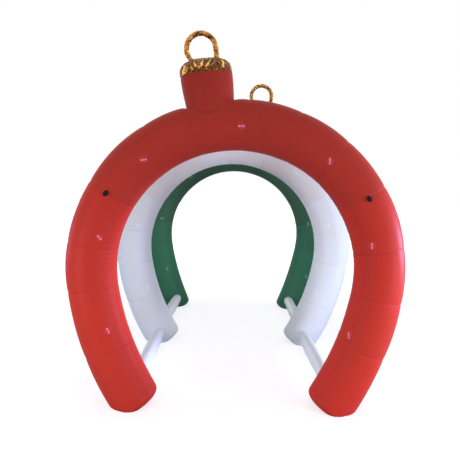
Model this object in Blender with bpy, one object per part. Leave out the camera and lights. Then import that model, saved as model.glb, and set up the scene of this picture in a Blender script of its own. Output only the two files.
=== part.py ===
"""Inflatable ornament arch: three round cloth tubes, red, white and green, one behind the other.

Metres, +Z up, +X across the way through and +Y along it, away from the front arch. The origin is on
the floor in the middle of the whole. Every inflated piece is modelled filled, to the outside of its cloth.
"""

import math
from collections import namedtuple

import bmesh
import bpy
from mathutils import Matrix, Vector

# What drives the sizes
GAP = 0.0003           # between a piece and its neighbour
TUBE_R = 0.180         # radius of an arch's tube
CROWN_R = 1.045        # radius of the tube's centreline round the crown
CROWN_Z = 1.002        # height of that round's centre above the floor
CROWN_TURN = math.radians(99.8)   # how far down each side the crown's round reaches
HALF_RUN = 2.655       # centreline from the top of the crown to the seam of a foot's end
ARCH_STEP = 1.476      # from one arch to the next
SIDES = 20             # sides of an arch tube, with a flat side facing front, back, out and in
CORNER = 2 / (1 + math.cos(math.pi / SIDES))   # its corners stand a little out, and so much of a radius
FLAT = CORNER * math.cos(math.pi / SIDES)      # its flats lie a little in, by as much

# Seams between panels, as distances along the centreline from the top of the crown, left negative
SEAM_RUNS = (-2.25, -1.79, -1.47, -1.07, -0.61, -0.33, 0.06, 0.39, 0.72, 1.070, 1.47, 1.82, 2.21)
PANEL_SPANS = 3        # rings of faces along one panel
SEAM_DRAW = 0.003      # a seam's thread draws the cloth in this far
PANEL_BOW = 0.9        # 0 is a panel straight from seam to seam, 1 one that follows the curve

# The domed end of a foot
END_DOME = 0.082       # how far it bulges past its seam
END_SQUARE = 3.4       # 2 is an ellipse, more has fuller corners
END_RINGS = 4
END_LAST = 0.6         # from the last of these rings to the tip, as a part of a step

# The neck: rows are the height above the centreline of the arch's tube and the radius there
NECK_TURN = math.radians(10.0)    # where it stands, from the top of the crown
NECK_ROWS = ((0.000, 0.168), (0.190, 0.172), (0.290, 0.178), (0.335, 0.181), (0.365, 0.179))

# The gathered cap: rows are the radius, the height above the neck's top and how deep the pleats are
CAP_ROWS = (
    (0.1790, 0.000, 0.000),
    (0.1800, 0.020, 0.005),
    (0.1690, 0.050, 0.009),
    (0.1400, 0.075, 0.010),
    (0.0990, 0.090, 0.008),
    (0.0500, 0.096, 0.004),
)
CAP_TOP = 0.098
CAP_PLEATS = 20
CAP_CREST, CAP_VALLEY = 0.2, -0.8   # how much of a pleat's depth its crest stands out and its valley in
CAP_WAVES = ((0.45, 3, 1.0), (0.35, 7, 0.0))   # what makes them uneven: depth, waves round, start
CAP_CLEAR = 1.5 * GAP  # room for the loop's legs, which are cut off along the cap
CAP_TILT = math.radians(6.0)      # the cap's plane tips forward this much more than its neck
CAP_LEVEL = math.radians(2.3)     # and to the side this much less

# The hanging loop: a half round on two legs, off the cap's middle to the side that the neck leans to
LOOP_R = 0.101         # radius of its half round, at the middle of the tube
LOOP_TUBE = 0.0175
LOOP_OFF = 0.018
LOOP_RISE = 0.063      # centre of the half round above the cap's top
LOOP_SIDES = 8
LOOP_SPANS = 12        # along the half round
LOOP_CRUMPLE = 0.0016  # how unevenly its skin lies
LOOP_WAVE = 2.3        # radians of that unevenness from one ring to the next

# Floor struts between the feet: rows are the row of struts, how far its struts are from the middle
# and how high their axes lie
STRUT_ROWS = (("front", 0.752, 0.102), ("back", 0.764, 0.112))
STRUT_R = 0.0580
STRUT_SIDES = 16
STRUT_SPANS = 5
STRUT_CROWN = 0.002    # fuller in the middle than at its sewn ends

# Tether tabs: webbing folded into a low loop, on the front of the front arch
TAB_SEAM = (-1.07, 1.070)         # the seams that hold them
TAB_LONG = 0.042       # along the arch
TAB_HIGH = 0.024       # off the cloth
TAB_WIDE = 0.026       # the webbing's width
TAB_THICK = 0.003
TAB_STEPS = 10         # round the loop's back
TAB_ROUND = 0.8        # 1 is an ellipse, less has fuller shoulders
TAB_LIFT = 0.0006      # the cloth beside the seam swells this much under a tab's ends
TAB_FOOT = (TUBE_R - SEAM_DRAW + TAB_LIFT) * FLAT + GAP   # from the tube's centreline to the tab

# The block whose top is the floor: half its width and length, and its depth
FLOOR_BLOCK = (2.0, 3.0, 1.0)

# From the front arch's centreline to the front of its leaning cap, and from the back arch's to its
# back. All moves back by half of the difference, so that the origin is in the middle.
FRONT_REACH = 0.2027
BACK_REACH = 0.1784
MIDDLE_Y = (FRONT_REACH - BACK_REACH) / 2

# One row for each arch, front to back: its place in the row and its shift to the side, which side its
# neck stands on and leans to (-1 is left), how many degrees the neck leans sideways and forward, the
# gentler round of a leg below the crown, and the colour of its cloth
Arch = namedtuple("Arch", "name place shift side lean forward leg_r colour")
ARCHES = (
    Arch("red", -1, 0.000, -1, 8.5, 3.5, 2.22, "#C0342C"),
    Arch("white", 0, -0.012, 1, 6.5, 12.0, 2.22, "#DAD8E6"),
    Arch("green", 1, 0.012, -1, 8.5, 3.5, 3.60, "#2F6B50"),
)


def linear(hex_colour):
    """An sRGB hex colour as linear red, green, blue and a full alpha."""
    parts = [int(hex_colour[i:i + 2], 16) / 255 for i in (1, 3, 5)]
    return [p / 12.92 if p <= 0.04045 else ((p + 0.055) / 1.055) ** 2.4 for p in parts] + [1.0]


def finish(name, hex_colour, roughness, metallic=0.0):
    """A Principled material of one colour."""
    made = bpy.data.materials.new(name)
    made.use_nodes = True
    shader = made.node_tree.nodes["Principled BSDF"]
    shader.inputs["Base Color"].default_value = linear(hex_colour)
    shader.inputs["Roughness"].default_value = roughness
    shader.inputs["Metallic"].default_value = metallic
    return made


def body(name, rings, material):
    """A closed mesh object through rings of points, one after another. A ring of one point is a tip."""
    mesh = bmesh.new()
    loops = [[mesh.verts.new(point) for point in ring] for ring in rings]
    for first, second in zip(loops, loops[1:]):
        for i in range(max(len(first), len(second))):
            a, b = first[i % len(first)], first[(i + 1) % len(first)]
            c, d = second[(i + 1) % len(second)], second[i % len(second)]
            if a is not b:
                mesh.faces.new((a, b, c))
            if c is not d:
                mesh.faces.new((a, c, d))
    for end in (loops[0], loops[-1]):
        if len(end) > 1:
            mesh.faces.new(end)
    return finished(name, mesh, material)


def finished(name, mesh, material):
    """Makes an object of a closed bmesh, its faces turned outward, round but for its edges."""
    bmesh.ops.recalc_face_normals(mesh, faces=mesh.faces)
    data = bpy.data.meshes.new(name)
    mesh.to_mesh(data)
    mesh.free()
    data.materials.append(material)
    data.shade_smooth()
    data.set_sharp_from_angle(angle=math.radians(40))
    made = bpy.data.objects.new(name, data)
    bpy.context.scene.collection.objects.link(made)
    return made


def cut(piece, cutter):
    """Takes the cutter's space out of a piece, and keeps the cutter out of the model."""
    cutter.hide_render = True
    cutter.display_type = "WIRE"
    modifier = piece.modifiers.new("fit to " + cutter.name, "BOOLEAN")
    modifier.object = cutter
    modifier.solver = "EXACT"


def ring(centre, across, along, radius, sides, start=0.5):
    """Points round a circle in the plane of two directions, the first one start steps past across."""
    turns = (math.tau * (i + start) / sides for i in range(sides))
    return [centre + radius * (math.cos(t) * across + math.sin(t) * along) for t in turns]


def on_centreline(run, leg_r):
    """The point of the tube's centreline at a signed run, and the outward direction there."""
    side, run = math.copysign(1, run), abs(run)
    turn = min(run / CROWN_R, CROWN_TURN)
    x, z = CROWN_R * math.sin(turn), CROWN_Z + CROWN_R * math.cos(turn)
    below = run - CROWN_R * CROWN_TURN
    if below > 0:
        turn = CROWN_TURN + below / leg_r
        x += leg_r * (math.sin(turn) - math.sin(CROWN_TURN))
        z += leg_r * (math.cos(turn) - math.cos(CROWN_TURN))
    return Vector((side * x, 0, z)), Vector((side * math.sin(turn), 0, math.cos(turn)))


def tube_ring(centre, outward, radius):
    """A ring of an arch's tube, whose sides lie as much inside the radius as its corners outside."""
    return ring(centre, outward, Vector((0, 1, 0)), radius * CORNER, SIDES)


def panel_rings(arch, start, end, grow=0.0, inset=0.0):
    """Rings of one panel from seam to seam, drawn in at both. The end rings can be set in from the seams."""
    from_point, to_point = (on_centreline(run, arch.leg_r)[0] for run in (start, end))
    rings = []
    for i in range(PANEL_SPANS + 1):
        part = i / PANEL_SPANS
        point, outward = on_centreline(start + (end - start) * part, arch.leg_r)
        point = from_point.lerp(to_point, part).lerp(point, PANEL_BOW)
        along = Vector((outward.z, 0, -outward.x))
        point += along * inset * ((i == 0) - (i == PANEL_SPANS))
        radius = TUBE_R - SEAM_DRAW * (2 * part - 1) ** 2 + grow
        rings.append(tube_ring(point, outward, radius))
    return rings


def end_rings(arch, side, grow=0.0):
    """Rings of a foot's domed end, past the last ring of its panel, down to the tip."""
    point, outward = on_centreline(side * HALF_RUN, arch.leg_r)
    down = Vector((outward.z, 0, -outward.x)) * side
    rings = []
    for i in range(1, END_RINGS + 1):
        angle = math.pi / 2 * i / (END_RINGS + END_LAST)
        radius = (TUBE_R - SEAM_DRAW + grow) * math.cos(angle) ** (2 / END_SQUARE)
        depth = (END_DOME + grow) * math.sin(angle) ** (2 / END_SQUARE)
        rings.append(tube_ring(point + down * depth, outward, radius))
    return rings + [[point + down * (END_DOME + grow)]]


def panel(name, arch, start, end, material, grow=0.0, inset=GAP / 2):
    """One panel of an arch. The first and last end in the dome of a foot."""
    rings = panel_rings(arch, start, end, grow, inset)
    if start == -HALF_RUN:
        whole = panel_rings(arch, start, end, grow)
        rings = end_rings(arch, -1, grow)[::-1] + whole[:-1] + rings[-1:]
    if end == HALF_RUN:
        whole = panel_rings(arch, start, end, grow)
        rings = rings[:1] + whole[1:] + end_rings(arch, 1, grow)
    return body(name, rings, material)


def neck_frame(arch):
    """Where the neck's axis leaves the tube's centreline, as a matrix whose Z runs up the neck."""
    foot, _ = on_centreline(arch.side * CROWN_R * NECK_TURN, arch.leg_r)
    lean = Matrix.Rotation(arch.side * math.radians(arch.lean), 4, "Y")
    return Matrix.Translation(foot) @ lean @ Matrix.Rotation(math.radians(arch.forward), 4, "X")


def cap_frame(arch):
    """The middle of the neck's top, as a matrix whose Z is the cap's axis."""
    top = Matrix.Translation((0, 0, NECK_ROWS[-1][0]))
    tip = Matrix.Rotation(-arch.side * CAP_LEVEL, 4, "Y") @ Matrix.Rotation(CAP_TILT, 4, "X")
    return neck_frame(arch) @ top @ tip


def neck(name, arch, material):
    """The ornament's neck. It is long at its foot, for the arch to be cut out, and slanted at its top."""
    frame = neck_frame(arch)
    cap_plane = frame.inverted() @ cap_frame(arch)
    middle, upward = cap_plane.translation, cap_plane.to_3x3() @ Vector((0, 0, 1))
    rings = []
    for height, radius in NECK_ROWS:
        points = ring(Vector((0, 0, height)), Vector((1, 0, 0)), Vector((0, 1, 0)), radius, SIDES)
        if height == NECK_ROWS[-1][0]:
            for point in points:
                point.z += (middle - point).dot(upward) / upward.z - GAP
        rings.append([frame @ point for point in points])
    return body(name, rings, material)


def cap(name, arch, material, grow=0.0):
    """The gold cap: a low dome whose cloth is gathered into uneven pleats."""
    frame = cap_frame(arch)
    columns = 2 * CAP_PLEATS
    rings = []
    for radius, height, pleat in CAP_ROWS:
        points = []
        for i in range(columns):
            turn = math.tau * i / columns
            uneven = 1 + sum(depth * math.sin(waves * turn + first) for depth, waves, first in CAP_WAVES)
            raised = pleat * uneven * (CAP_CREST if i % 2 else CAP_VALLEY)
            reach = radius + raised + grow
            level = height * (1 + raised / CAP_TOP) + (grow if height else -grow)
            points.append(frame @ Vector((reach * math.cos(turn), reach * math.sin(turn), level)))
        rings.append(points)
    rings.append([frame @ Vector((0, 0, CAP_TOP + grow))])
    return body(name, rings, material)


def loop(name, arch, material):
    """The hanging loop: a crumpled thin tube, up one leg, over and down the other into the cap."""
    frame = cap_frame(arch)
    centre = Vector((arch.side * LOOP_OFF, 0, CAP_TOP + LOOP_RISE))
    leg = LOOP_RISE + CAP_TOP / 2
    stations = [(math.pi * i / LOOP_SPANS, 0.0) for i in range(LOOP_SPANS + 1)]
    stations = [(0.0, leg), (0.0, leg / 2)] + stations + [(math.pi, leg / 2), (math.pi, leg)]
    rings = []
    for i, (turn, drop) in enumerate(stations):
        outward = Vector((math.cos(turn), 0, math.sin(turn)))
        radius = LOOP_TUBE + LOOP_CRUMPLE * math.sin(LOOP_WAVE * i)
        middle = centre + LOOP_R * outward - Vector((0, 0, drop))
        points = ring(middle, outward, Vector((0, 1, 0)), radius, LOOP_SIDES)
        rings.append([frame @ point for point in points])
    return body(name, rings, material)


def strut(name, start, end, material):
    """A floor strut from inside one foot to inside the next, which are then cut out of it."""
    rings = []
    for i in range(STRUT_SPANS + 1):
        part = i / STRUT_SPANS
        radius = STRUT_R + STRUT_CROWN * math.sin(math.pi * part)
        rings.append(ring(start.lerp(end, part), Vector((1, 0, 0)), Vector((0, 0, 1)), radius, STRUT_SIDES))
    return body(name, rings, material)


def tether_tab(name, arch, run, material):
    """Webbing folded into a low loop that stands on the front of the tube, open across the arch."""
    middle, outward = on_centreline(run, arch.leg_r)
    along = Vector((outward.z, 0, -outward.x))
    frame = Matrix((
        (along.x, outward.x, 0, middle.x),
        (0, 0, -1, -TAB_FOOT),
        (along.z, outward.z, 0, middle.z),
        (0, 0, 0, 1),
    ))
    turns = [math.pi * i / TAB_STEPS for i in range(TAB_STEPS + 1)]
    walls = []
    for inset in (0.0, TAB_THICK):
        half, high = TAB_LONG / 2 - inset, TAB_HIGH - 2 * inset
        outline = [(half * math.cos(t), inset + high * math.sin(t) ** TAB_ROUND) for t in turns]
        for width in (-TAB_WIDE / 2, TAB_WIDE / 2):
            walls.append([frame @ Vector((x, width, z)) for x, z in outline])
    outer_near, outer_far, inner_near, inner_far = walls
    around = (outer_near, outer_far, inner_far, inner_near, outer_near)
    return hoop(name, around, material)


def hoop(name, rims, material):
    """A closed band through rims of points, the last of which is the first again."""
    mesh = bmesh.new()
    loops = [[mesh.verts.new(point) for point in rim] for rim in rims[:-1]]
    for first, second in zip(loops, loops[1:] + loops[:1]):
        for i in range(len(first)):
            j = (i + 1) % len(first)
            mesh.faces.new((first[i], first[j], second[j], second[i]))
    return finished(name, mesh, material)


def arch_pieces(arch, cloth, gold, floor):
    """One arch with its neck, cap and loop, as children of an empty at its place in the row."""
    seams = (-HALF_RUN, *(run * -arch.side for run in SEAM_RUNS[::-arch.side]), HALF_RUN)
    grow = GAP / math.cos(math.pi / SIDES)
    pieces = []
    for i, (start, end) in enumerate(zip(seams, seams[1:])):
        pieces.append(panel(f"{arch.name}_panel_{i + 1:02d}", arch, start, end, cloth))
    for foot in (pieces[0], pieces[-1]):
        cut(foot, floor)
    over_crown = zip(seams[5:9], seams[6:10])
    crown = [one for ends in over_crown for one in panel_rings(arch, *ends, grow)]
    cutters = [
        body(f"{arch.name} crown cutter", crown, cloth),
        cap(f"{arch.name} cap cutter", arch, gold, CAP_CLEAR),
        panel(f"{arch.name} left foot cutter", arch, seams[0], seams[1], cloth, grow),
        panel(f"{arch.name} right foot cutter", arch, seams[-2], seams[-1], cloth, grow),
    ]
    upright = neck(f"{arch.name}_neck", arch, cloth)
    cut(upright, cutters[0])
    hanger = loop(f"{arch.name}_loop", arch, gold)
    cut(hanger, cutters[1])
    pieces += [upright, cap(f"{arch.name}_cap", arch, gold), hanger]
    holder = bpy.data.objects.new(f"{arch.name} arch", None)
    holder.location = (arch.shift, arch.place * ARCH_STEP + MIDDLE_Y, 0)
    bpy.context.scene.collection.objects.link(holder)
    for piece in (*pieces, *cutters):
        piece.parent = holder
    return holder, cutters[2:]


def floor_plane(material):
    """A block whose top is the floor, which flattens the feet where they stand."""
    wide, long, deep = FLOOR_BLOCK
    corners = ((-wide, -long), (wide, -long), (wide, long), (-wide, long))
    rings = [[Vector((x, y, z)) for x, y in corners] for z in (-deep, 0)]
    return body("floor cutter", rings, material)


def main():
    for old in list(bpy.data.objects):
        bpy.data.objects.remove(old)
    gold = finish("gold lame", "#B8791F", 0.32, 0.9)
    white = finish("white strut cloth", "#DAD8E6", 0.55)
    black = finish("black webbing", "#1B1A1C", 0.5)
    floor = floor_plane(white)
    arches = []
    for arch in ARCHES:
        cloth = finish(f"{arch.name} polyester", arch.colour, 0.5)
        arches.append(arch_pieces(arch, cloth, gold, floor))
    for (row, reach, height), front, back in zip(STRUT_ROWS, arches, arches[1:]):
        for index, (word, side) in enumerate((("left", -1), ("right", 1))):
            offset = Vector((side * reach, 0, height))
            ends = [holder.location + offset for holder, _ in (front, back)]
            brace = strut(f"strut_{row}_{word}", *ends, white)
            cut(brace, front[1][index])
            cut(brace, back[1][index])
    for word, run in zip(("left", "right"), TAB_SEAM):
        tab = tether_tab(f"tether_tab_{word}", ARCHES[0], run, black)
        tab.parent = arches[0][0]


main()
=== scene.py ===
"""The looks of an inflatable ornament arch: red, white and green cloth tubes, gold caps and loops.

Metres, in the part's frame: +Z up, +X across the way through, +Y along it, away from the front arch.
"""

import math
from collections import namedtuple

import bpy
import numpy as np
from mathutils import Matrix, Vector
from mathutils.bvhtree import BVHTree


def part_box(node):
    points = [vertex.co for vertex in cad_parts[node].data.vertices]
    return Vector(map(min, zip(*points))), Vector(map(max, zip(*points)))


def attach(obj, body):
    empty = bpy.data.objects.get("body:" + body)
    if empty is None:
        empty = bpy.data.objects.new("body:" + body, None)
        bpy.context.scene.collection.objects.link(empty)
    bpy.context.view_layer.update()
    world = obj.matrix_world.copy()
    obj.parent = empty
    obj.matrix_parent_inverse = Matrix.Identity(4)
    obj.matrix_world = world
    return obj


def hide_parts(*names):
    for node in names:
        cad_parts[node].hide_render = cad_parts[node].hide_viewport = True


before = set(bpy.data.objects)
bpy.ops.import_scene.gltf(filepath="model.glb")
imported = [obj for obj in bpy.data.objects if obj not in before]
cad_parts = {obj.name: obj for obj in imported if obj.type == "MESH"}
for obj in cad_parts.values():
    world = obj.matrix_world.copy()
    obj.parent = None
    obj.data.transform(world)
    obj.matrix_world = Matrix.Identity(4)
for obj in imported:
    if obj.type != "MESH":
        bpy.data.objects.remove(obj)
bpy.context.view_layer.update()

# Sizes of the arches, as they are cut and sewn
TUBE_R = 0.180         # radius of an arch's tube
CROWN_R = 1.045        # radius of its centreline round the crown
CROWN_Z = 1.002        # height of that round's centre
CROWN_TURN = math.radians(99.8)
HALF_RUN = 2.655       # centreline from the top of the crown to the seam of a foot's end
ARCH_STEP = 1.476
MIDDLE_Y = (0.2027 - 0.1784) / 2   # the middle arch's plane, as the whole is centred on its own box
SEAM_RUNS = (-2.25, -1.79, -1.47, -1.07, -0.61, -0.33, 0.06, 0.39, 0.72, 1.070, 1.47, 1.82, 2.21)
SEAM_DRAW = 0.003      # the thread draws a seam in this far
SEAM_FOLD = 0.0022     # depth of the narrow fold at the thread
SEAM_FOLD_WIDE = 0.012
PUCKER = 0.0014        # depth of the puckers beside a seam
PUCKER_LONG = 0.045
BEND_CREASES = (-1.55, -1.47, -1.40, -1.31, 1.29, 1.38, 1.50, 1.58)  # where the legs turn in
PAINTED_SHADE_RUNS = (0.60, 0.95, 1.20, 1.60)   # painted shade: the cloth is painted darker at the crown, paler down the legs
PAINTED_SHADE_STEPS = (0.05, 0.14, 0.50, 0.60)
BACK_PAINTED_SHADE_SHIFT = 0.3                  # the back arch's painted shade reaches this much lower down
END_DOME = 0.082
END_SQUARE = 3.4

# The neck, cap and loop
NECK_TURN = math.radians(10.0)
NECK_ROWS = ((0.000, 0.168), (0.190, 0.172), (0.290, 0.178), (0.335, 0.181), (0.365, 0.179))
CAP_ROWS = (
    (0.1790, 0.000),
    (0.1800, 0.020),
    (0.1690, 0.050),
    (0.1400, 0.075),
    (0.0990, 0.090),
    (0.0500, 0.096),
    (0.0000, 0.098),
)
CAP_TOP = 0.098
PLEATS = 54            # fine pleats of the foil round the cap

# Folds that lie open, raised a little and painted as bright highlights, narrow teeth or wide patches:
# degrees from the cap's front, where each starts and ends between the hem and the top, its half width in
# degrees, its lean and how bright its painted highlight is
Fold = namedtuple("Fold", "place low high half lean bright")
FRONT_FOLDS = (
    Fold(-17.5, 0.22, 0.50, 5.0, -12, 0.90),
    Fold(-7.5, 0.20, 0.56, 4.6, 4, 1.25),
    Fold(-12.5, 0.16, 0.36, 4.0, 0, 0.70),
    Fold(1.5, 0.18, 0.50, 5.0, 16, 1.00),
    Fold(9.0, 0.20, 0.42, 4.0, 22, 0.45),
    Fold(-25.0, 0.10, 0.36, 4.5, -10, 0.50),
    Fold(-56.0, -0.10, 0.42, 15.0, 4, 0.95),
    Fold(-43.0, -0.05, 0.32, 8.0, 0, 0.50),
    Fold(41.0, 0.12, 0.50, 6.5, 10, 1.05),
    Fold(55.0, 0.20, 0.46, 4.0, 0, 0.45),
    Fold(74.0, 0.02, 0.52, 6.0, 6, 0.90),
)
CAP_TILT = math.radians(6.0)
CAP_LEVEL = math.radians(2.3)
NECK_FILLET = 0.060    # the neck's front runs into the tube's over this far
NECK_INSIDE = 0.170    # the tube is felt for from inside the neck, down from its upper part
NECK_UPPER = 0.33
LOOP_R = 0.101
LOOP_TUBE = 0.0175
LOOP_OFF = 0.018
LOOP_RISE = 0.063

# Struts and tether tabs
STRUT_ROWS = (("front", 0.752, 0.102), ("back", 0.764, 0.112))
STRUT_R = 0.0580
TAB_SEAM = (-1.07, 1.070)
TAB_LONG = 0.042
TAB_HIGH = 0.024
TAB_WIDE = 0.026
TAB_THICK = 0.003
TAB_ROUND = 0.8

# A row for each arch: its place and shift, the side its neck stands on, how far the neck leans
# sideways and forward in degrees, the round of its legs, and the little lamps that show through its cloth
Arch = namedtuple("Arch", "name place shift side lean forward leg_r lamps")

# Lamps, every 0.7 m along a string: run along the tube, degrees from the tube's front towards its
# outside, and the turn of the row of bulbs
Lamp = namedtuple("Lamp", "run out turn")
ARCHES = (
    Arch("red", -1, 0.000, -1, 8.5, 3.5, 2.22, (
        Lamp(0.017, -10.8, 2), Lamp(-0.721, -13.5, -31), Lamp(0.693, -13.2, -48), Lamp(-1.382, -24.5, 53),
        Lamp(1.399, -28.2, -10), Lamp(-2.090, -29.2, 8), Lamp(2.126, -55.3, 23))),
    Arch("white", 0, -0.012, 1, 6.5, 12.0, 2.22, (
        Lamp(0.010, -12.0, 10), Lamp(-0.705, -14.0, 25), Lamp(0.700, -16.0, -30), Lamp(-1.417, -19.0, -79),
        Lamp(1.371, -15.5, -12), Lamp(-2.109, -32.0, -17), Lamp(2.122, -32.5, 20))),
    Arch("green", 1, 0.012, -1, 8.5, 3.5, 3.60, (
        Lamp(0.010, -12.0, -10), Lamp(-0.686, -21.8, -65), Lamp(0.700, -14.0, 30), Lamp(-1.424, -15.2, -78),
        Lamp(1.457, -12.5, -7), Lamp(-2.146, -21.0, -15), Lamp(2.184, 14.0, 20))),
)
LAMP_NEAR = 0.07       # a lamp shows in full this far out, and fades to nothing at twice that

# The bulbs of a lamp and the glow round them: place along the row, how far each reaches and how
# bright it is
BULBS = ((-0.016, 0.0095, 0.90), (0.0, 0.0095, 0.70), (0.016, 0.0095, 0.90), (0.0, 0.0400, 0.07))

# The camera, and the photograph's width and focal length in pixels
CAMERA_X = -0.0455
CAMERA_AWAY = 3.2
CAMERA_Z = 1.562
CAMERA_ROLL = 0.0215
PHOTO_PX = 460
FOCAL_PX = 444.8
BELOW_LEVEL_PX = 36.5  # the middle of the photograph is this far below eye level

# How finely the cloth is drawn
PANEL_RINGS = 60       # along a panel, closer together at its seams
SECTION = 96           # round a tube
END_RINGS = 16
rng = np.random.default_rng(25)


def on_centreline(run, leg_r):
    """Points of a tube's centreline in its own plane, and how far round the crown each is turned."""
    side, run = np.sign(run), np.abs(run)
    turn = np.minimum(run / CROWN_R, CROWN_TURN)
    leg = CROWN_TURN + np.maximum(run - CROWN_R * CROWN_TURN, 0) / leg_r
    x = CROWN_R * np.sin(turn) + leg_r * (np.sin(leg) - math.sin(CROWN_TURN))
    z = CROWN_Z + CROWN_R * np.cos(turn) + leg_r * (np.cos(leg) - math.cos(CROWN_TURN))
    return side * x, z, side * (turn + leg - CROWN_TURN)


def holder(arch):
    """Where an arch stands in the row."""
    return np.array((arch.shift, arch.place * ARCH_STEP + MIDDLE_Y, 0.0))


def seams_of(arch):
    """The seams of one arch from left to right, with both foot ends."""
    return (-HALF_RUN, *(run * -arch.side for run in SEAM_RUNS[::-arch.side]), HALF_RUN)


def ripples(angle, low, high, count=7):
    """An uneven wave round a tube, of about 1 high, from waves between two counts."""
    waves = rng.integers(low, high + 1, count)
    starts = rng.uniform(0, math.tau, count)
    heights = rng.uniform(0.4, 1.0, count)
    return sum(h * np.sin(w * angle + s) for w, s, h in zip(waves, starts, heights)) / math.sqrt(count)


def ring_ways(outward, angle):
    """The ways out of a tube round each of its rings, from the way that the ring's first point faces."""
    across = np.array((0, 1, 0)) * np.sin(angle)[:, None]
    return outward[:, None] * np.cos(angle)[:, None] + across


def crumples(run, angle, low, high, turns, count):
    """An uneven relief over a sleeve, from waves that run along it and wind round it."""
    waves = zip(rng.uniform(low, high, count), rng.integers(-turns, turns + 1, count))
    return sum(
        rng.uniform(0.4, 1.0) * np.sin(k * run[:, None] + m * angle + rng.uniform(0, math.tau))
        for k, m in waves
    )


def cloth_map(along, across):
    """UV places in metres of cloth, from a column of lengths along a skin and a row of widths round it."""
    return np.stack(np.broadcast_arrays(along, across), -1)


def plain_cloth(rows, columns, tone_and_painted_shade):
    """The attributes of a skin that has one tone, its painted shade included, and no seam or lamp."""
    return (
        ("seam", "FLOAT", "POINT", np.full(rows * columns, 1.0)),
        ("lamp", "FLOAT_VECTOR", "POINT", np.zeros((rows * columns, 3))),
        ("tone_and_painted_shade", "FLOAT", "FACE", np.full((rows - 1) * columns, tone_and_painted_shade)),
    )


def surface(name, points, uv, material, tips=(None, None), attributes=()):
    """A mesh through rings of points, closed round each ring, with a tip at either end where one is given.

    uv has one column more than the points, so that it runs on across the join.
    """
    rings, columns = points.shape[:2]
    index = np.arange(rings * columns).reshape(rings, columns)
    following = np.roll(index, -1, axis=1)
    quads = np.stack((index[:-1], index[1:], following[1:], following[:-1]), -1).reshape(-1, 4)
    corners = np.stack((uv[:-1, :-1], uv[1:, :-1], uv[1:, 1:], uv[:-1, 1:]), -2).reshape(-1, 2)
    verts, faces, loops = points.reshape(-1, 3).tolist(), quads.tolist(), corners.tolist()
    for tip, ring, row, flip in ((tips[0], index[0], uv[0], 1), (tips[1], index[-1], uv[-1], -1)):
        if tip is None:
            continue
        verts.append(list(tip))
        for i in range(columns):
            j = (i + 1) % columns
            faces.append([len(verts) - 1, int(ring[i]), int(ring[j])][::flip])
            loops += [[*row[i]], [*row[i]], [*row[i + 1]]][::flip]
    mesh = bpy.data.meshes.new(name)
    mesh.from_pydata(verts, [], faces)
    mesh.uv_layers.new(name="cloth").data.foreach_set("uv", np.array(loops, dtype=np.float32).ravel())
    for label, kind, domain, values in attributes:
        layer = mesh.attributes.new(label, kind, domain)
        size = len(verts) if domain == "POINT" else len(faces)
        filled = np.resize(np.asarray(values, dtype=np.float32), (size, *np.shape(values)[1:]))
        filled[len(values):] = values[-1]
        layer.data.foreach_set("vector" if kind == "FLOAT_VECTOR" else "value", filled.ravel())
    # Every face looks outwards, away from the middle of its ring
    nearer, further = points[:-1], points[1:]
    crossed = np.cross(np.roll(further, -1, 1) - nearer, np.roll(nearer, -1, 1) - further)
    if (crossed * (nearer - nearer.mean(1, keepdims=True))).sum() < 0:
        mesh.flip_normals()
    mesh.materials.append(material)
    mesh.shade_smooth()
    made = bpy.data.objects.new(name, mesh)
    bpy.context.scene.collection.objects.link(made)
    return made


def stands_for(piece, slot, *nodes, fill=None):
    """Makes a piece ride on the part in the place of its solids, and hides those solids. The slot is not
    used.
    """
    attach(piece, "root")
    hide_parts(*nodes)
    return piece


# Materials

def linear(hex_colour):
    """An sRGB hex colour as linear red, green and blue, with a full alpha."""
    parts = [int(hex_colour[i:i + 2], 16) / 255 for i in (1, 3, 5)]
    return [p / 12.92 if p <= 0.04045 else ((p + 0.055) / 1.055) ** 2.4 for p in parts] + [1.0]


def add(tree, kind, inputs=(), **settings):
    """Adds a node. Each input is given by name or number, as a value or as another node's output."""
    node = tree.nodes.new("ShaderNode" + kind)
    for name, value in settings.items():
        setattr(node, name, value)
    for name, value in dict(inputs).items():
        if isinstance(value, bpy.types.NodeSocket):
            tree.links.new(value, node.inputs[name])
        else:
            node.inputs[name].default_value = value
    return node


def new_material(name):
    """An empty material, its node tree and its output node."""
    made = bpy.data.materials.new(name)
    made.use_nodes = True
    made.node_tree.nodes.clear()
    return made, made.node_tree, made.node_tree.nodes.new("ShaderNodeOutputMaterial")


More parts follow.
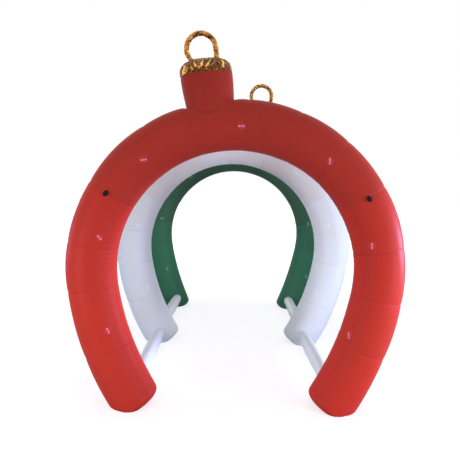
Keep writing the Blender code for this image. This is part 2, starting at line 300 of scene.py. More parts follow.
def inflated_taffeta(name, colour, painted_shade_colour, glow, brightest):
    """Thin polyester taffeta with a satin face, blown tight: broad soft lights along the tube, panels of
    slightly different shade at random, painted shade that darkens the panels near the crown, a faint dark
    line of thread at each seam, and small lamps inside that show through as rows of three bright points in a
    soft glow."""
    made, tree, output = new_material(name)
    uv = add(tree, "UVMap", uv_map="cloth").outputs["UV"]
    place = add(tree, "TexCoord").outputs["Object"]

    # The dye takes a little unevenly, in clouds of 200 to 300 mm
    clouds = add(tree, "TexNoise", {"Vector": place, "Scale": 4.0, "Detail": 2.0}).outputs["Fac"]
    # Painted shade: each panel's tone holds a random shade plus painted shade that darkens it near the crown;
    # it mixes the cloth from a darker painted-shade copy of its colour to the lit one
    tone_and_painted_shade = add(tree, "Attribute", attribute_name="tone_and_painted_shade").outputs["Fac"]
    shade = add(tree, "Math", {0: clouds, 1: 0.35, 2: tone_and_painted_shade}, operation="MULTIPLY_ADD",
                use_clamp=True).outputs[0]
    cloth = add(tree, "Mix", {"Factor": shade, "A": linear(painted_shade_colour), "B": linear(colour)},
                data_type="RGBA").outputs["Result"]

    # A seam is thread 1 mm wide in a fold of 6 mm, which from here shows as one line 5 mm wide
    seam = add(tree, "Attribute", attribute_name="seam").outputs["Fac"]
    thread = add(tree, "MapRange", {"Value": seam, "From Min": 0.0005, "From Max": 0.0050, "To Min": 0.70,
                                    "To Max": 1.0}).outputs[0]
    dyed = add(tree, "Mix", {"Factor": 1.0, "A": cloth, "B": thread},
               data_type="RGBA", blend_type="MULTIPLY").outputs["Result"]

    # Threads lie 0.25 mm apart, which is too fine to show, so the weave is drawn every 4 mm
    warp = add(tree, "TexWave", {"Vector": uv, "Scale": 80.0}, bands_direction="X").outputs["Fac"]
    weft = add(tree, "TexWave", {"Vector": uv, "Scale": 80.0}, bands_direction="Y").outputs["Fac"]
    weave = add(tree, "Math", {0: warp, 1: weft}, operation="MULTIPLY").outputs[0]
    weave_bump = add(tree, "Bump", {"Height": weave, "Strength": 0.04, "Distance": 0.0005}).outputs["Normal"]

    # Slack between the puckers lies in soft dents 20 to 60 mm long
    dents = add(tree, "TexNoise", {"Vector": uv, "Scale": 16.0, "Detail": 3.0,
                                   "Distortion": 0.6}).outputs["Fac"]
    dent_bump = add(tree, "Bump", {"Height": dents, "Strength": 0.2, "Distance": 0.004,
                                   "Normal": weave_bump}).outputs["Normal"]

    # Each lamp is three bulbs in a row, 16 mm apart, and lights the cloth round it
    lamp = add(tree, "Attribute", attribute_name="lamp").outputs["Vector"]
    parts = add(tree, "SeparateXYZ", {0: lamp}).outputs
    flat = add(tree, "CombineXYZ", {0: parts["X"], 1: parts["Y"]}).outputs[0]
    light = None
    for offset, reach, bright in BULBS:
        away = add(tree, "VectorMath", {0: flat, 1: (offset, 0, 0)}, operation="DISTANCE").outputs["Value"]
        spot = add(tree, "MapRange", {"Value": away, "From Min": reach, "From Max": 0.0, "To Max": bright},
                   interpolation_type="SMOOTHSTEP").outputs[0]
        light = spot if light is None else add(tree, "Math", {0: light, 1: spot}, operation="ADD").outputs[0]
    light = add(tree, "Math", {0: light, 1: parts["Z"]}, operation="MULTIPLY").outputs[0]
    shine = add(tree, "Mix", {"Factor": 1.0, "A": linear(glow), "B": light},
                data_type="RGBA", blend_type="MULTIPLY").outputs["Result"]

    shader = add(tree, "BsdfPrincipled", {
        "Base Color": dyed, "Roughness": 0.45, "IOR": 1.5, "Specular IOR Level": 0.05, "Normal": dent_bump,
        "Sheen Weight": 0.02, "Sheen Roughness": 0.4,
        "Emission Color": shine, "Emission Strength": brightest,
    })
    tree.links.new(shader.outputs[0], output.inputs["Surface"])
    return made


def gold_lame(name):
    """Metallised foil cloth, gathered and crumpled: painted shade makes it dark bronze in its folds and
    painted highlights make it bright gold along the crests, with small hard glints."""
    made, tree, output = new_material(name)
    place = add(tree, "TexCoord").outputs["Object"]
    crest_painted_light = add(tree, "Attribute", attribute_name="crest_painted_light").outputs["Fac"]

    # Creases of the foil lie 9 to 22 mm apart
    wander = add(tree, "TexNoise", {"Vector": place, "Scale": 30.0, "Detail": 2.0}).outputs["Color"]
    bent = add(tree, "Mix", {"Factor": 0.04, "A": place, "B": wander}, data_type="VECTOR").outputs["Result"]
    creases = add(tree, "TexVoronoi", {"Vector": bent, "Scale": 46.0}, feature="F1").outputs["Distance"]
    rough = add(tree, "MapRange", {"Value": crest_painted_light, "From Min": 0.1, "From Max": 0.4, "To Min": 0.7,
                                   "To Max": 0.12}).outputs[0]
    crease_bump = add(tree, "Bump", {"Height": creases, "Strength": rough,
                                     "Distance": 0.005}).outputs["Normal"]
    fine = add(tree, "TexVoronoi", {"Vector": bent, "Scale": 110.0}, feature="F1").outputs["Distance"]
    fine_bump = add(tree, "Bump", {"Height": fine, "Strength": 0.15, "Distance": 0.0015,
                                   "Normal": crease_bump}).outputs["Normal"]

    # Painted reflection: the foil is painted lighter and darker from fold to fold, in random patches
    painted_lustre_patches = add(tree, "TexNoise", {"Vector": place, "Scale": 55.0, "Detail": 3.0}).outputs["Fac"]
    lit = add(tree, "Math", {0: painted_lustre_patches, 1: 1.1, 2: -0.55}, operation="MULTIPLY_ADD").outputs[0]
    lit = add(tree, "Math", {0: lit, 1: crest_painted_light}, operation="ADD", use_clamp=True).outputs[0]
    # The ramp runs from painted shade, dark bronze, through gold to painted highlight, pale gold
    tint = add(tree, "ValToRGB", {"Fac": lit})
    ramp = tint.color_ramp.elements
    ramp[0].position, ramp[0].color = 0.05, linear("#634022")
    ramp[1].position, ramp[1].color = 1.0, linear("#FFD27A")
    middle = ramp.new(0.40)
    middle.color = linear("#C47C30")
    shader = add(tree, "BsdfPrincipled", {
        "Base Color": tint.outputs["Color"], "Metallic": 0.9, "Roughness": 0.26, "Normal": fine_bump,
    })
    tree.links.new(shader.outputs[0], output.inputs["Surface"])
    return made


def black_webbing(name):
    """Woven polypropylene webbing, black and slightly glossy, with ribs across it. They are drawn every
    6 mm, twice as far apart as real ones, so that they show."""
    made, tree, output = new_material(name)
    uv = add(tree, "UVMap", uv_map="cloth").outputs["UV"]
    ribs = add(tree, "TexWave", {"Vector": uv, "Scale": 53.0}, bands_direction="X").outputs["Fac"]
    bump = add(tree, "Bump", {"Height": ribs, "Strength": 0.5, "Distance": 0.0006}).outputs["Normal"]
    shader = add(tree, "BsdfPrincipled", {
        "Base Color": linear("#0C0B0C"), "Roughness": 0.42, "IOR": 1.49, "Specular IOR Level": 0.2,
        "Normal": bump,
    })
    tree.links.new(shader.outputs[0], output.inputs["Surface"])
    return made


# Cloth

def panel_creases(seams):
    """Where the cloth gathers along the inside of the bend: creases beside the seams and where the legs
    turn in, as rows of the run, the middle and half-length round the tube, the depth, the width and the
    wander."""
    rows = []
    for run in BEND_CREASES:
        for side in (-1, 1):
            rows.append((
                run + rng.uniform(-0.02, 0.02),
                math.pi + side * rng.uniform(0.3, 0.8),
                rng.uniform(0.45, 0.9),
                rng.uniform(0.0016, 0.0030),
                rng.uniform(0.005, 0.008),
                rng.uniform(-0.02, 0.02),
            ))
    for seam in seams[1:-1]:
        for _ in range(rng.integers(1, 4)):
            rows.append((
                seam + rng.choice((-1, 1)) * rng.uniform(0.014, 0.085),
                math.pi + rng.uniform(-0.9, 0.9),
                rng.uniform(0.35, 0.9),
                rng.uniform(0.0012, 0.0028),
                rng.uniform(0.005, 0.009),
                rng.uniform(-0.012, 0.012),
            ))
    return rows


def arch_skin(arch, material):
    """The whole tube of one arch as one skin, sewn of its panels: drawn in and puckered at the seams,
    creased inside the bend, domed and flattened at the feet."""
    seams = seams_of(arch)
    angle = math.pi / 2 + np.arange(SECTION) * math.tau / SECTION
    runs, middles, turns, radii, gaps, tones_and_painted_shade = [], [], [], [], [], []
    steps = np.linspace(0, 1, PANEL_RINGS, endpoint=False)
    steps = 0.4 * steps + 0.6 * (1 - np.cos(math.pi * steps)) / 2
    creases = panel_creases(seams)
    swell = [(rng.uniform(2, 9), rng.integers(0, 4), rng.uniform(0, math.tau)) for _ in range(6)]
    for panel, (start, end) in enumerate(zip(seams, seams[1:])):
        last = panel == len(seams) - 2
        part = np.append(steps, 1.0) if last else steps
        run = start + (end - start) * part
        x, z, turn = on_centreline(run, arch.leg_r)
        gap = np.minimum(part, 1 - part) * (end - start)
        outer = (1 + np.cos(angle)) / 2
        drawn = SEAM_DRAW * (2 * part - 1) ** 2
        fold = SEAM_FOLD * np.exp(-(gap / SEAM_FOLD_WIDE) ** 2)
        radius = TUBE_R - drawn[:, None] * outer - fold[:, None] * (0.4 + 0.6 * outer)
        for near in (part < 0.5, part >= 0.5):
            pucker = ripples(angle, 7, 22)
            reach = np.exp(-gap / PUCKER_LONG) * (1 - np.exp(-gap / 0.006)) * near
            radius += PUCKER * reach[:, None] * pucker * (0.25 + 0.75 * (1 - outer))
        runs.append(run)
        middles.append(np.stack((x, np.zeros_like(x), z), -1))
        turns.append(turn)
        radii.append(radius)

        # The thread shows more on the inside of the bend and comes and goes round the tube, alike on
        # both sides of a seam
        shows = [
            np.clip(0.55 * (1 - outer) + 0.35 * ripples(angle, 1, 6) + 0.15, 0, 1)
            for _ in range(1 + last)
        ]
        first_shows = shows[0] if panel == 0 else next_shows
        next_shows = shows[-1]
        nearer = np.where((part < 0.5)[:, None], first_shows, next_shows)
        gaps.append(gap[:, None] + 0.005 * (1 - nearer))
        # Painted shade: panels nearer the crown are painted darker, as the light falls off towards the top,
        # and each panel gets a small random tone on top
        from_top = abs(start + end) / 2 - BACK_PAINTED_SHADE_SHIFT * (arch.place > 0)
        painted_lightness = np.interp(from_top, PAINTED_SHADE_RUNS, PAINTED_SHADE_STEPS)
        tones_and_painted_shade += [painted_lightness + rng.uniform(0, 0.12)] * (len(part) - last)
    run, middle, turn = np.concatenate(runs), np.concatenate(middles), np.concatenate(turns)
    radius, gap = np.concatenate(radii), np.concatenate(gaps)
    for place, centre, half, depth, width, wander in creases:
        off = np.abs((angle - centre + math.pi) % math.tau - math.pi) / half
        along = run[:, None] - place - wander * np.sin(2 * angle)
        radius -= depth * np.exp(-(along / width) ** 2) * np.clip(1 - off ** 2, 0, 1)
    for wave, count, first in swell:
        radius += 0.0006 * np.sin(wave * run[:, None] + count * angle + first)
    outward = np.stack((np.sin(turn), np.zeros_like(turn), np.cos(turn)), -1)
    spread = ring_ways(outward, angle)
    points = middle[:, None] + radius[..., None] * spread

    # The domed ends
    ends, tips = [], []
    for side, row in ((-1, 0), (1, -1)):
        down = side * np.array((outward[row][2], 0, -outward[row][0]))
        bend = math.pi / 2 * np.arange(1, END_RINGS + 1) / (END_RINGS + 0.3)
        level = np.cos(bend) ** (2 / END_SQUARE)
        depth = END_DOME * np.sin(bend) ** (2 / END_SQUARE)
        round_end = (level[:, None] * radius[row])[..., None] * spread[row]
        dome = middle[row] + down * depth[:, None, None] + round_end
        ends.append((dome, run[row] + side * depth))
        tips.append(middle[row] + down * END_DOME)
    points = np.concatenate((ends[0][0][::-1], points, ends[1][0]))
    run = np.concatenate((ends[0][1][::-1], run, ends[1][1]))
    domes = END_DOME * np.ones((END_RINGS, SECTION))
    gap = np.concatenate((domes, gap, domes))
    tones_and_painted_shade = [tones_and_painted_shade[0]] * END_RINGS + tones_and_painted_shade + [tones_and_painted_shade[-1]] * END_RINGS

    points, tips = points + holder(arch), [tip + holder(arch) for tip in tips]
    normals = np.concatenate((
        np.repeat(spread[:1], END_RINGS, 0),
        spread,
        np.repeat(spread[-1:], END_RINGS, 0),
    ))
    draw_in_at_neck(arch, points, normals)
    for rows in (points, *tips):
        rows[..., 2] = np.maximum(rows[..., 2], 0.0002)
    wrapped = np.append(angle, angle[0] + math.tau) * TUBE_R
    uv = cloth_map(run[:, None], wrapped)
    attributes = (
        ("seam", "FLOAT", "POINT", gap.ravel()),
        ("lamp", "FLOAT_VECTOR", "POINT", lamp_places(arch, run, angle)),
        ("tone_and_painted_shade", "FLOAT", "FACE", np.repeat(tones_and_painted_shade[:len(run) - 1], SECTION)),
    )
    skin = surface(f"{arch.name}_arch_skin", points, uv, material, tips, attributes)
    nodes = [f"{arch.name}_panel_{i + 1:02d}" for i in range(len(seams) - 1)]
    return stands_for(skin, f"{arch.name}_cloth", *nodes, fill=1.0)


def lamp_places(arch, run, angle):
    """For each point of a skin its place from the nearest lamp, along its row of bulbs and across it,
    and 1 close to that lamp, falling to 0."""
    front = -math.pi / 2
    round_tube = (angle - front + math.pi) % math.tau - math.pi
    best = np.full((len(run), len(angle)), 9.0)
    out = np.zeros((len(run), len(angle), 3))
    for lamp in arch.lamps:
        along = run[:, None] - lamp.run
        across = (round_tube - math.radians(lamp.out)) * TUBE_R
        along, across = np.broadcast_arrays(along, across)
        away = np.hypot(along, across)
        turn = math.radians(lamp.turn)
        here = np.stack((
            along * math.cos(turn) + across * math.sin(turn),
            across * math.cos(turn) - along * math.sin(turn),
            np.clip(2 - away / LAMP_NEAR, 0, 1),
        ), -1)
        nearer = away < best
        best[nearer], out[nearer] = away[nearer], here[nearer]
    return out.reshape(-1, 3)


def neck_frame(arch):
    """Where the neck's axis leaves the tube's centreline, as a matrix whose Z runs up the neck."""
    x, z, _ = on_centreline(np.array(arch.side * CROWN_R * NECK_TURN), arch.leg_r)
    foot = Matrix.Translation(Vector((x, 0, z)) + Vector(holder(arch)))
    lean = Matrix.Rotation(arch.side * math.radians(arch.lean), 4, "Y")
    return foot @ lean @ Matrix.Rotation(math.radians(arch.forward), 4, "X")


def cap_frame(arch):
    """The middle of the neck's top, as a matrix whose Z is the cap's axis."""
    top = Matrix.Translation((0, 0, NECK_ROWS[-1][0]))
    tip = Matrix.Rotation(-arch.side * CAP_LEVEL, 4, "Y") @ Matrix.Rotation(CAP_TILT, 4, "X")
    return neck_frame(arch) @ top @ tip


def moved(matrix, points):
    """Points through a matrix."""
    matrix = np.array(matrix)
    return points @ matrix[:3, :3].T + matrix[:3, 3]


def filleted(points, away, normals, others, width):
    """Points pushed out where two skins meet, so that they run into each other in a soft hollow."""
    near = np.clip(1 - away / np.maximum(width, 0.001), 0, 1)
    way = normals + near[..., None] * others
    way /= np.maximum(np.linalg.norm(way, axis=-1, keepdims=True), 0.3)
    return points + (width * near ** 2 / 4)[..., None] * way


def front_share(local):
    """For places round the neck's axis, 1 at the front and back and 0 at the sides."""
    return local[..., 1] ** 2 / np.maximum((local[..., :2] ** 2).sum(-1), 1e-6)


def draw_in_at_neck(arch, points, normals):
    """The seam of the neck draws the tube's cloth down beside its foot, and out to meet it in front."""
    frame_here = neck_frame(arch)
    local = moved(frame_here.inverted(), points)
    across = np.hypot(local[..., 0], local[..., 1])
    off = np.abs(across - NECK_ROWS[0][1])
    above = np.clip(local[..., 2] / 0.05, 0, 1)
    front = front_share(local)
    down = 0.012 * np.exp(-off / 0.035) * above * (1 - front)
    ways = np.array(frame_here)[:3, :3]
    edge = np.concatenate((local[..., :2] / across[..., None], 0 * across[..., None]), -1) @ ways.T
    width = NECK_FILLET * front * above
    points[:] = filleted(points, np.maximum(across - NECK_ROWS[0][1], 0), normals, edge, width)
    points -= down[..., None] * ways[:, 2]


def neck_skin(arch, arch_piece, material):
    """The ornament's neck, a short wide sleeve that stands on the crown."""
    columns, rows = 120, 44
    matrix, cap_plane = neck_frame(arch), cap_frame(arch)
    tree = BVHTree.FromObject(arch_piece, bpy.context.evaluated_depsgraph_get())
    heights, widths = zip(*NECK_ROWS)
    axis = (matrix.to_3x3() @ Vector((0, 0, 1))).normalized()
    local_plane = matrix.inverted() @ cap_plane
    middle, upward = local_plane.translation, local_plane.to_3x3() @ Vector((0, 0, 1))
    angle = np.arange(columns) * math.tau / columns
    foot_ripple, top_ripple = ripples(angle, 7, 22), ripples(angle, 10, 26)
    points = np.zeros((rows, columns, 3))
    for i, a in enumerate(angle):
        edge = Vector((math.cos(a), math.sin(a), 0))
        start = matrix @ (edge * NECK_INSIDE + Vector((0, 0, NECK_UPPER)))
        hit = tree.ray_cast(start, -axis)[0]
        low = (matrix.inverted() @ hit).z - 0.006
        top = heights[-1] + (middle - edge * widths[-1]).xy.dot(upward.xy) / upward.z + 0.004
        part = np.linspace(0, 1, rows)
        height = low + (top - low) * part

        # Drawn in and puckered at both hems, and run out into the tube at the front and back
        width = np.interp(height, heights, widths) + 0.003 * np.sin(math.pi * part)
        width -= 0.004 * np.exp(-(height - low) / 0.016) + 0.0015 * np.exp(-(top - height) / 0.02)
        width += 0.0014 * foot_ripple[i] * np.exp(-(height - low) / 0.045)
        width += 0.0011 * top_ripple[i] * np.exp(-(top - height) / 0.050)
        near = np.clip(1 - (height - low) / NECK_FILLET, 0, 1)
        width += 0.8 * NECK_FILLET * near ** 2 / 4 * edge.y ** 2
        points[:, i] = np.stack((width * edge.x, width * edge.y, height), -1)
    wrapped = np.append(angle, math.tau) * TUBE_R
    uv = cloth_map(points[:, :1, 2], wrapped)
    # Painted shade: the neck is given the crown's dark tone
    neck = surface(f"{arch.name}_neck_skin", moved(matrix, points), uv, material,
                   attributes=plain_cloth(rows, columns, 0.08))
    return stands_for(neck, f"{arch.name}_cloth", f"{arch.name}_neck", fill=1.0)


def open_fold(fold, from_front, part):
    """1 along the middle of one open fold of the foil, falling to 0 at its edges."""
    up = (part - fold.low) / (fold.high - fold.low)
    off = np.degrees(from_front) - fold.place - fold.lean * up
    off = np.abs((off + 180) % 360 - 180) / (fold.half * np.clip(1.15 - up, 0.05, 1))
    inside = np.clip(1.2 * (1 - off), 0, 1) * np.clip(6 * up, 0, 1) * np.clip(8 * (1 - up), 0, 1)
    return inside * inside * (3 - 2 * inside)


def gathered_cap(arch, material):
    """The gold cap, gathered to its middle in fine uneven pleats, with a wavy hem. Some folds lie open and
    are painted as bright highlights, teeth and patches, a fan of them at the front of its shoulder; the
    ridges of the pleats are painted lighter and their valleys darker."""
    columns, rows = 480, 84
    radii, heights = (np.array(column) for column in zip(*CAP_ROWS))
    part = np.linspace(0, 1, rows)[:, None] ** 0.85
    spot = part * (len(radii) - 1)
    radius, height = (np.interp(spot, np.arange(len(radii)), c) for c in (radii, heights))
    angle = np.arange(columns)[None] * math.tau / columns
    from_front = (angle + math.pi / 2 + math.pi) % math.tau - math.pi
    phase = PLEATS * angle + 1.1 * np.sin(5 * angle + 2) + 0.9 * np.sin(9 * angle + rng.uniform(0, 6)) \
        + 0.5 * np.sin(13 * angle)
    ridge = 1 - np.abs(np.sin(phase / 2)) * 2
    uneven = np.clip(0.75 + 0.35 * ripples(angle[0], 5, 17), 0.25, 1.6)
    shoulder = np.exp(-((part - 0.50) / 0.24) ** 2)
    crumple = sum(
        rng.uniform(0.4, 1.0) * np.sin(k * angle + 9 * m * part + rng.uniform(0, math.tau))
        for k, m in rng.integers((9, -5), (44, 6), (12, 2))
    )
    folds = list(FRONT_FOLDS)
    for turn in np.linspace(88, 272, 17):
        low = rng.uniform(0.0, 0.25)
        folds.append(Fold(turn + rng.uniform(-5, 5), low, low + rng.uniform(0.2, 0.4), rng.uniform(3, 11),
                          rng.uniform(-14, 14), rng.uniform(0.4, 1.0)))
    lying_open = sum(fold.bright * open_fold(fold, from_front, part) for fold in folds)
    rest = np.clip(1 - lying_open, 0, 1)
    raised = 0.0030 * ridge * uneven * (0.25 + 0.75 * shoulder) * (0.3 + 0.7 * rest)
    raised = (raised + 0.0045 * lying_open) * np.clip(radius / 0.05, 0, 1)
    raised = raised + 0.0010 * crumple * np.clip(radius / 0.09, 0, 1)
    hem = -(0.005 + 0.006 * np.clip(ripples(angle[0], 6, 19), -1, 1)) * np.exp(-part / 0.10)
    reach = (radius + raised) * (1 + 0.014 * np.exp(-part / 0.08))
    level = height + raised * 0.9 * part + hem
    points = np.stack((reach * np.cos(angle), reach * np.sin(angle), level), -1)

    # Painted light: the pleats' ridges on the shoulder and the open folds are painted bright, the valleys
    # dark
    crest_painted_light = 0.05 + 0.16 * np.clip(ridge, 0, 1) ** 2 * uneven * shoulder + 0.03 * crumple + 0.9 * lying_open
    crest_painted_light = crest_painted_light[:-1].ravel()
    wrapped = np.append(angle, math.tau) * radii[0]
    uv = cloth_map(part * radii[0], wrapped)
    tip = cap_frame(arch) @ Vector((0, 0, CAP_TOP))
    points = moved(cap_frame(arch), points[:-1])
    cap = surface(f"{arch.name}_cap_cloth", points, uv[:-1], material, tips=(None, tip),
                  attributes=(("crest_painted_light", "FLOAT", "POINT", crest_painted_light),))
    return stands_for(cap, "gold_cloth", f"{arch.name}_cap", fill=0.8)


def hanging_loop(arch, material):
    """The loop, a thin stuffed sleeve whose foil is crumpled in rings and dents."""
    columns, bends, legs = 40, 130, 34
    turn = np.concatenate((np.zeros(legs), np.linspace(0, math.pi, bends), np.full(legs, math.pi)))
    drop = np.linspace(LOOP_RISE + CAP_TOP * 0.35, 0, legs, endpoint=False)
    drop = np.concatenate((drop, np.zeros(bends), drop[::-1]))
    outward = np.stack((np.cos(turn), np.zeros_like(turn), np.sin(turn)), -1)
    centre = np.array((arch.side * LOOP_OFF, 0, CAP_TOP + LOOP_RISE))
    middle = centre + LOOP_R * outward - np.stack((0 * drop, 0 * drop, drop), -1)
    middle[:, 0] += 0.022 * np.clip(drop / LOOP_RISE, 0, 1.2) ** 2 * (turn > 1)
    step = np.linalg.norm(np.diff(middle, axis=0, prepend=middle[:1]), axis=1)
    run = np.cumsum(step)
    angle = np.arange(columns) * math.tau / columns
    dents = crumples(run, angle, 60, 420, 5, 14)
    radius = LOOP_TUBE + 0.00055 * dents
    painted_lustre = crumples(run, angle, 12, 110, 2, 8)
    # Painted light: the dents' bumps are painted lighter and their hollows darker, with a painted lustre that
    # changes along the sleeve
    crest_painted_light = 0.40 + 0.08 * painted_lustre + 0.05 * dents
    spread = ring_ways(outward, angle)
    points = middle[:, None] + radius[..., None] * spread
    uv = cloth_map(run[:, None], np.append(angle, math.tau) * LOOP_TUBE)
    piece = surface(f"{arch.name}_loop_sleeve", moved(cap_frame(arch), points), uv, material,
                    attributes=(("crest_painted_light", "FLOAT", "POINT", crest_painted_light.ravel()),))
    return stands_for(piece, "gold_cloth", f"{arch.name}_loop", fill=1.0)


def floor_strut(row, word, start, end, trees, material):
    """A thin inflated strut between two feet, drawn together where it is sewn to them."""
    columns, rows = 56, 150
    angle = np.arange(columns) * math.tau / columns
    spread = np.stack((np.cos(angle), 0 * angle, np.sin(angle)), -1)
    ends = []
    for tree, origin, way in ((trees[0], start, -1), (trees[1], end, 1)):
        middle = (start + end) / 2
        hits = [tree.ray_cast(Vector(middle + STRUT_R * edge), Vector((0, way, 0)))[0] for edge in spread]
        ends.append(np.array([hit.y if hit else origin[1] - way * 0.12 for hit in hits]) + way * 0.006)
    part = np.linspace(0, 1, rows)
    part = (0.5 * part + 0.5 * (1 - np.cos(math.pi * part)) / 2)[:, None]
    y = ends[0] + (ends[1] - ends[0]) * part
    gap = np.minimum(y - ends[0], ends[1] - y)
    radius = STRUT_R + 0.002 * np.sin(math.pi * part) - 0.004 * np.exp(-gap / 0.02)
    radius = radius + 0.0016 * ripples(angle, 5, 13) * np.exp(-gap / 0.06)
    radius = radius + 0.0009 * np.sin(9 * y + 2 * angle) + 0.0006 * np.sin(23 * y - 3 * angle + 1)
    x = start[0] + (end[0] - start[0]) * part
    points = np.stack((x + radius * np.cos(angle), y, start[2] + radius * np.sin(angle)), -1)
    uv = cloth_map(y[:, :1], np.append(angle, math.tau) * STRUT_R)
    # Painted shade: a middle tone between the cloth's painted-shade copy and its lit colour
    piece = surface(f"strut_{row}_{word}_skin", points, uv, material,
                    attributes=plain_cloth(rows, columns, 0.45))
    return stands_for(piece, "strut_cloth", f"strut_{row}_{word}", fill=1.0)


def tether_tab(word, run, material):
    """Webbing folded into a low loop on the front of the front arch, its edges slightly round and its
    ends drawn together by their stitches."""
    arch = ARCHES[0]
    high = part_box(f"tether_tab_{word}")[1]
    x, z, turn = on_centreline(np.array(run), arch.leg_r)
    outward, along = Vector((math.sin(turn), 0, math.cos(turn))), Vector((math.cos(turn), 0, -math.sin(turn)))
    foot = Vector((x, high.y, z)) + Vector((arch.shift, 0, 0))
    matrix = Matrix((
        (along.x, outward.x, 0, foot.x),
        (0, 0, -1, foot.y),
        (along.z, outward.z, 0, foot.z),
        (0, 0, 0, 1),
    ))
    steps = 44
    turns = np.linspace(0, math.pi, steps)
    over = np.stack((np.cos(turns), np.sin(turns) ** TAB_ROUND), -1)
    base = np.stack((np.linspace(-1, 1, 18)[1:-1], np.zeros(16)), -1)
    outline = np.concatenate((over, base))
    section = ((0.0, -0.5), (0.0, 0.5), (0.18, 0.53), (0.82, 0.53), (1.0, 0.5), (1.0, -0.5),
               (0.82, -0.53), (0.18, -0.53))
    rings = []
    for inset, width in section:
        half, tall = TAB_LONG / 2 - inset * TAB_THICK, TAB_HIGH - 2 * inset * TAB_THICK
        rings.append(np.stack((
            outline[:, 0] * half,
            width * (TAB_WIDE - 0.001) * np.sqrt(1 - 0.75 * outline[:, 0] ** 2),
            outline[:, 1] * tall + inset * TAB_THICK,
        ), -1))
    points = np.swapaxes(np.array(rings + rings[:1]), 0, 1)
    points = np.concatenate((points, points[:1]))[:, :-1]
    length = np.linspace(0, 0.11, len(points))
    uv = cloth_map(length[:, None], np.linspace(0, 0.06, len(section) + 1))
    piece = surface(f"tether_tab_{word}_webbing", moved(matrix, points), uv, material)
    return stands_for(piece, "black_webbing", f"tether_tab_{word}")


def dress():
    """Makes every piece of the object."""
    # Each cloth has a lit colour and a darker painted-shade copy for its crown; the white's and green's
    # copies are painted warmer with light bounced from the red arch, and the white's lit colour is painted
    # cool like the light on its legs
    red = inflated_taffeta("red satin taffeta", "#C6372B", "#AA382E", "#FFA8E4", 0.75)
    white = inflated_taffeta("white satin taffeta", "#E6F4FB", "#E8E3E2", "#F8F8FF", 0.25)
    green = inflated_taffeta("green satin taffeta", "#3D7D60", "#485E4C", "#A8FFE0", 0.50)
    gold = gold_lame("crumpled gold lame")
    webbing = black_webbing("black webbing")
    trees = []
    for arch, cloth in zip(ARCHES, (red, white, green)):
        skin = arch_skin(arch, cloth)
        neck_skin(arch, skin, cloth)
        gathered_cap(arch, gold)
        hanging_loop(arch, gold)
        trees.append(BVHTree.FromObject(skin, bpy.context.evaluated_depsgraph_get()))
    for (row, reach, height), first in zip(STRUT_ROWS, (0, 1)):
        for word, side in (("left", -1), ("right", 1)):
            offset = np.array((side * reach, 0, height))
            start, end = (holder(ARCHES[i]) + offset for i in (first, first + 1))
            floor_strut(row, word, start, end, trees[first:first + 2], white)
    for word, run in zip(("left", "right"), TAB_SEAM):
        tether_tab(word, run, webbing)


# Stage

def pale_floor():
    """A plain white floor that fades into the room, and that throws only a dim light up."""
    made, tree, output = new_material("pale floor")
    place = add(tree, "TexCoord").outputs["Object"]
    away = add(tree, "VectorMath", {0: place}, operation="LENGTH").outputs["Value"]
    fade = add(tree, "MapRange", {"Value": away, "From Min": 1.5, "From Max": 5.0, "To Min": 0.67,
                                  "To Max": 1.0}).outputs[0]
    seen = add(tree, "LightPath").outputs["Is Camera Ray"]
    strength = add(tree, "Math", {0: fade, 1: seen}, operation="MULTIPLY").outputs[0]
    shader = add(tree, "BsdfPrincipled", {
        "Base Color": linear("#C8C8CC"), "Roughness": 0.95, "Specular IOR Level": 0.0,
        "Emission Color": linear("#FFFFFF"), "Emission Strength": strength,
    })
    tree.links.new(shader.outputs[0], output.inputs["Surface"])
    mesh = bpy.data.meshes.new("floor")
    reach = 60.0
    mesh.from_pydata([(-reach, -reach, 0), (reach, -reach, 0), (reach, reach, 0), (-reach, reach, 0)],
                     [], [(0, 1, 2, 3)])
    mesh.materials.append(made)
    floor = bpy.data.objects.new("floor", mesh)
    bpy.context.scene.collection.objects.link(floor)


def soft_box(name, place, towards, size, watts, colour, spread=180):
    """A soft area light, with a grid over it where its spread is narrow."""
    data = bpy.data.lights.new(name, "AREA")
    data.shape = "RECTANGLE"
    data.size, data.size_y = size
    data.energy = watts
    data.spread = math.radians(spread)
    data.color = linear(colour)[:3]
    lamp = bpy.data.objects.new(name, data)
    lamp.location = place
    lamp.visible_camera = False
    lamp.rotation_euler = (Vector(towards) - Vector(place)).to_track_quat("-Z", "Y").to_euler()
    bpy.context.scene.collection.objects.link(lamp)


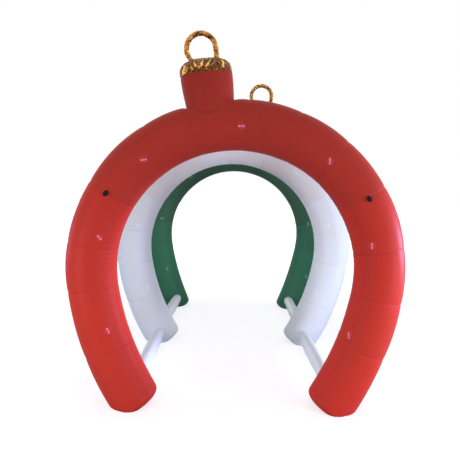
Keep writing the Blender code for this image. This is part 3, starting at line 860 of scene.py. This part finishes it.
def studio():
    """A white room that lights softly, and soft boxes: two low in front, a cool one at the right and a
    weak one at the left, which draw pale bands down the sides of the tubes, and one behind."""
    world = bpy.data.worlds.new("white studio")
    world.use_nodes = True
    tree = world.node_tree
    tree.nodes.clear()
    seen = add(tree, "Background", {"Color": (1, 1, 1, 1), "Strength": 1.0})
    lit = add(tree, "Background", {"Color": linear("#FAFAFF"), "Strength": 0.58})
    path = add(tree, "LightPath").outputs
    seen_or_mirrored = add(tree, "Math", {0: path["Is Camera Ray"], 1: path["Is Glossy Ray"]},
                           operation="MAXIMUM").outputs[0]
    both = add(tree, "MixShader", {0: seen_or_mirrored, 1: lit.outputs[0], 2: seen.outputs[0]})
    add(tree, "OutputWorld", {"Surface": both.outputs[0]})
    bpy.context.scene.world = world
    soft_box("front left soft box", (-4.6, -5.4, 0.6), (0.2, -1.0, 0.7), (1.6, 1.0), 11.5, "#F2F2FF", 42)
    soft_box("front right soft box", (5.2, -4.7, 0.6), (0.2, -1.0, 0.7), (1.6, 1.0), 17.0, "#E6E8FF", 42)
    soft_box("right soft box", (7.0, -0.3, 1.3), (0.0, -1.30, 1.0), (1.0, 1.0), 21, "#C0C4FF", 26)
    soft_box("left soft box", (-5.0, 0.0, 1.0), (-0.6, -1.2, 0.9), (1.0, 1.2), 4, "#BEBEFF", 60)
    soft_box("rear soft box", (-1.0, 8.5, 1.6), (0.0, 1.5, 1.0), (2.0, 2.0), 60, "#FFFFFF")


def photograph_camera():
    """The camera at the photograph's viewing angle: 3.2 m in front of the red arch, at eye height."""
    down = math.atan(BELOW_LEVEL_PX / FOCAL_PX)
    data = bpy.data.cameras.new("camera")
    data.lens = data.sensor_width * FOCAL_PX / PHOTO_PX
    camera = bpy.data.objects.new("camera", data)
    place = Matrix.Translation((CAMERA_X, MIDDLE_Y - ARCH_STEP - CAMERA_AWAY, CAMERA_Z))
    tilt = Matrix.Rotation(math.pi / 2 - down, 4, "X")
    camera.matrix_world = place @ tilt @ Matrix.Rotation(CAMERA_ROLL, 4, "Z")
    bpy.context.scene.collection.objects.link(camera)
    bpy.context.scene.camera = camera


bpy.context.scene.view_settings.view_transform = "Standard"
photograph_camera()
pale_floor()
studio()
dress()
